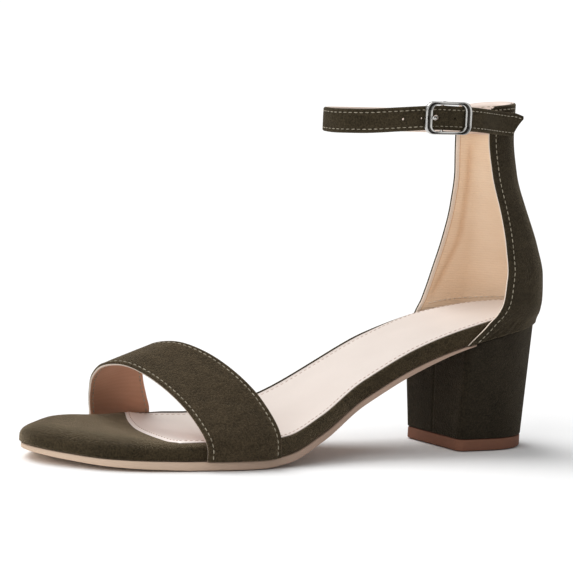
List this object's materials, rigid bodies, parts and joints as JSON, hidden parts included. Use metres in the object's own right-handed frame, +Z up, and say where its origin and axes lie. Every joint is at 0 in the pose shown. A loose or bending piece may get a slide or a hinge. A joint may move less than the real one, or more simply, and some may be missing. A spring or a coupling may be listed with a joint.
{
  "type": "block heel sandal",
  "caption": "Open-toe ankle-strap sandal with a wide toe strap, a closed heel counter, a side buckle and a mid-height block heel.",
  "frame": {"origin": "under the middle of the heel, on the ground face of the heel tip", "axes": "+Z up, the toe points to -X, the lateral side with the buckle faces -Y"},
  "size_m": [0.2322, 0.0819, 0.1443],
  "materials": {
    "suede": "olive grey suede, matt nap",
    "sock": "smooth pale pink lining, matt",
    "outsole": "pale tan, matt",
    "heel_tip": "brown, satin",
    "metal": "polished grey metal"
  },
  "bodies": {
    "root": {"outsole": "outsole", "platform": "suede", "sock": "sock", "heel": "suede", "heel_tip": "heel_tip", "toe_strap": "suede", "counter": "suede", "ankle_strap": "suede", "buckle_frame": "metal", "buckle_prong": "metal"}
  },
  "joints": []
}
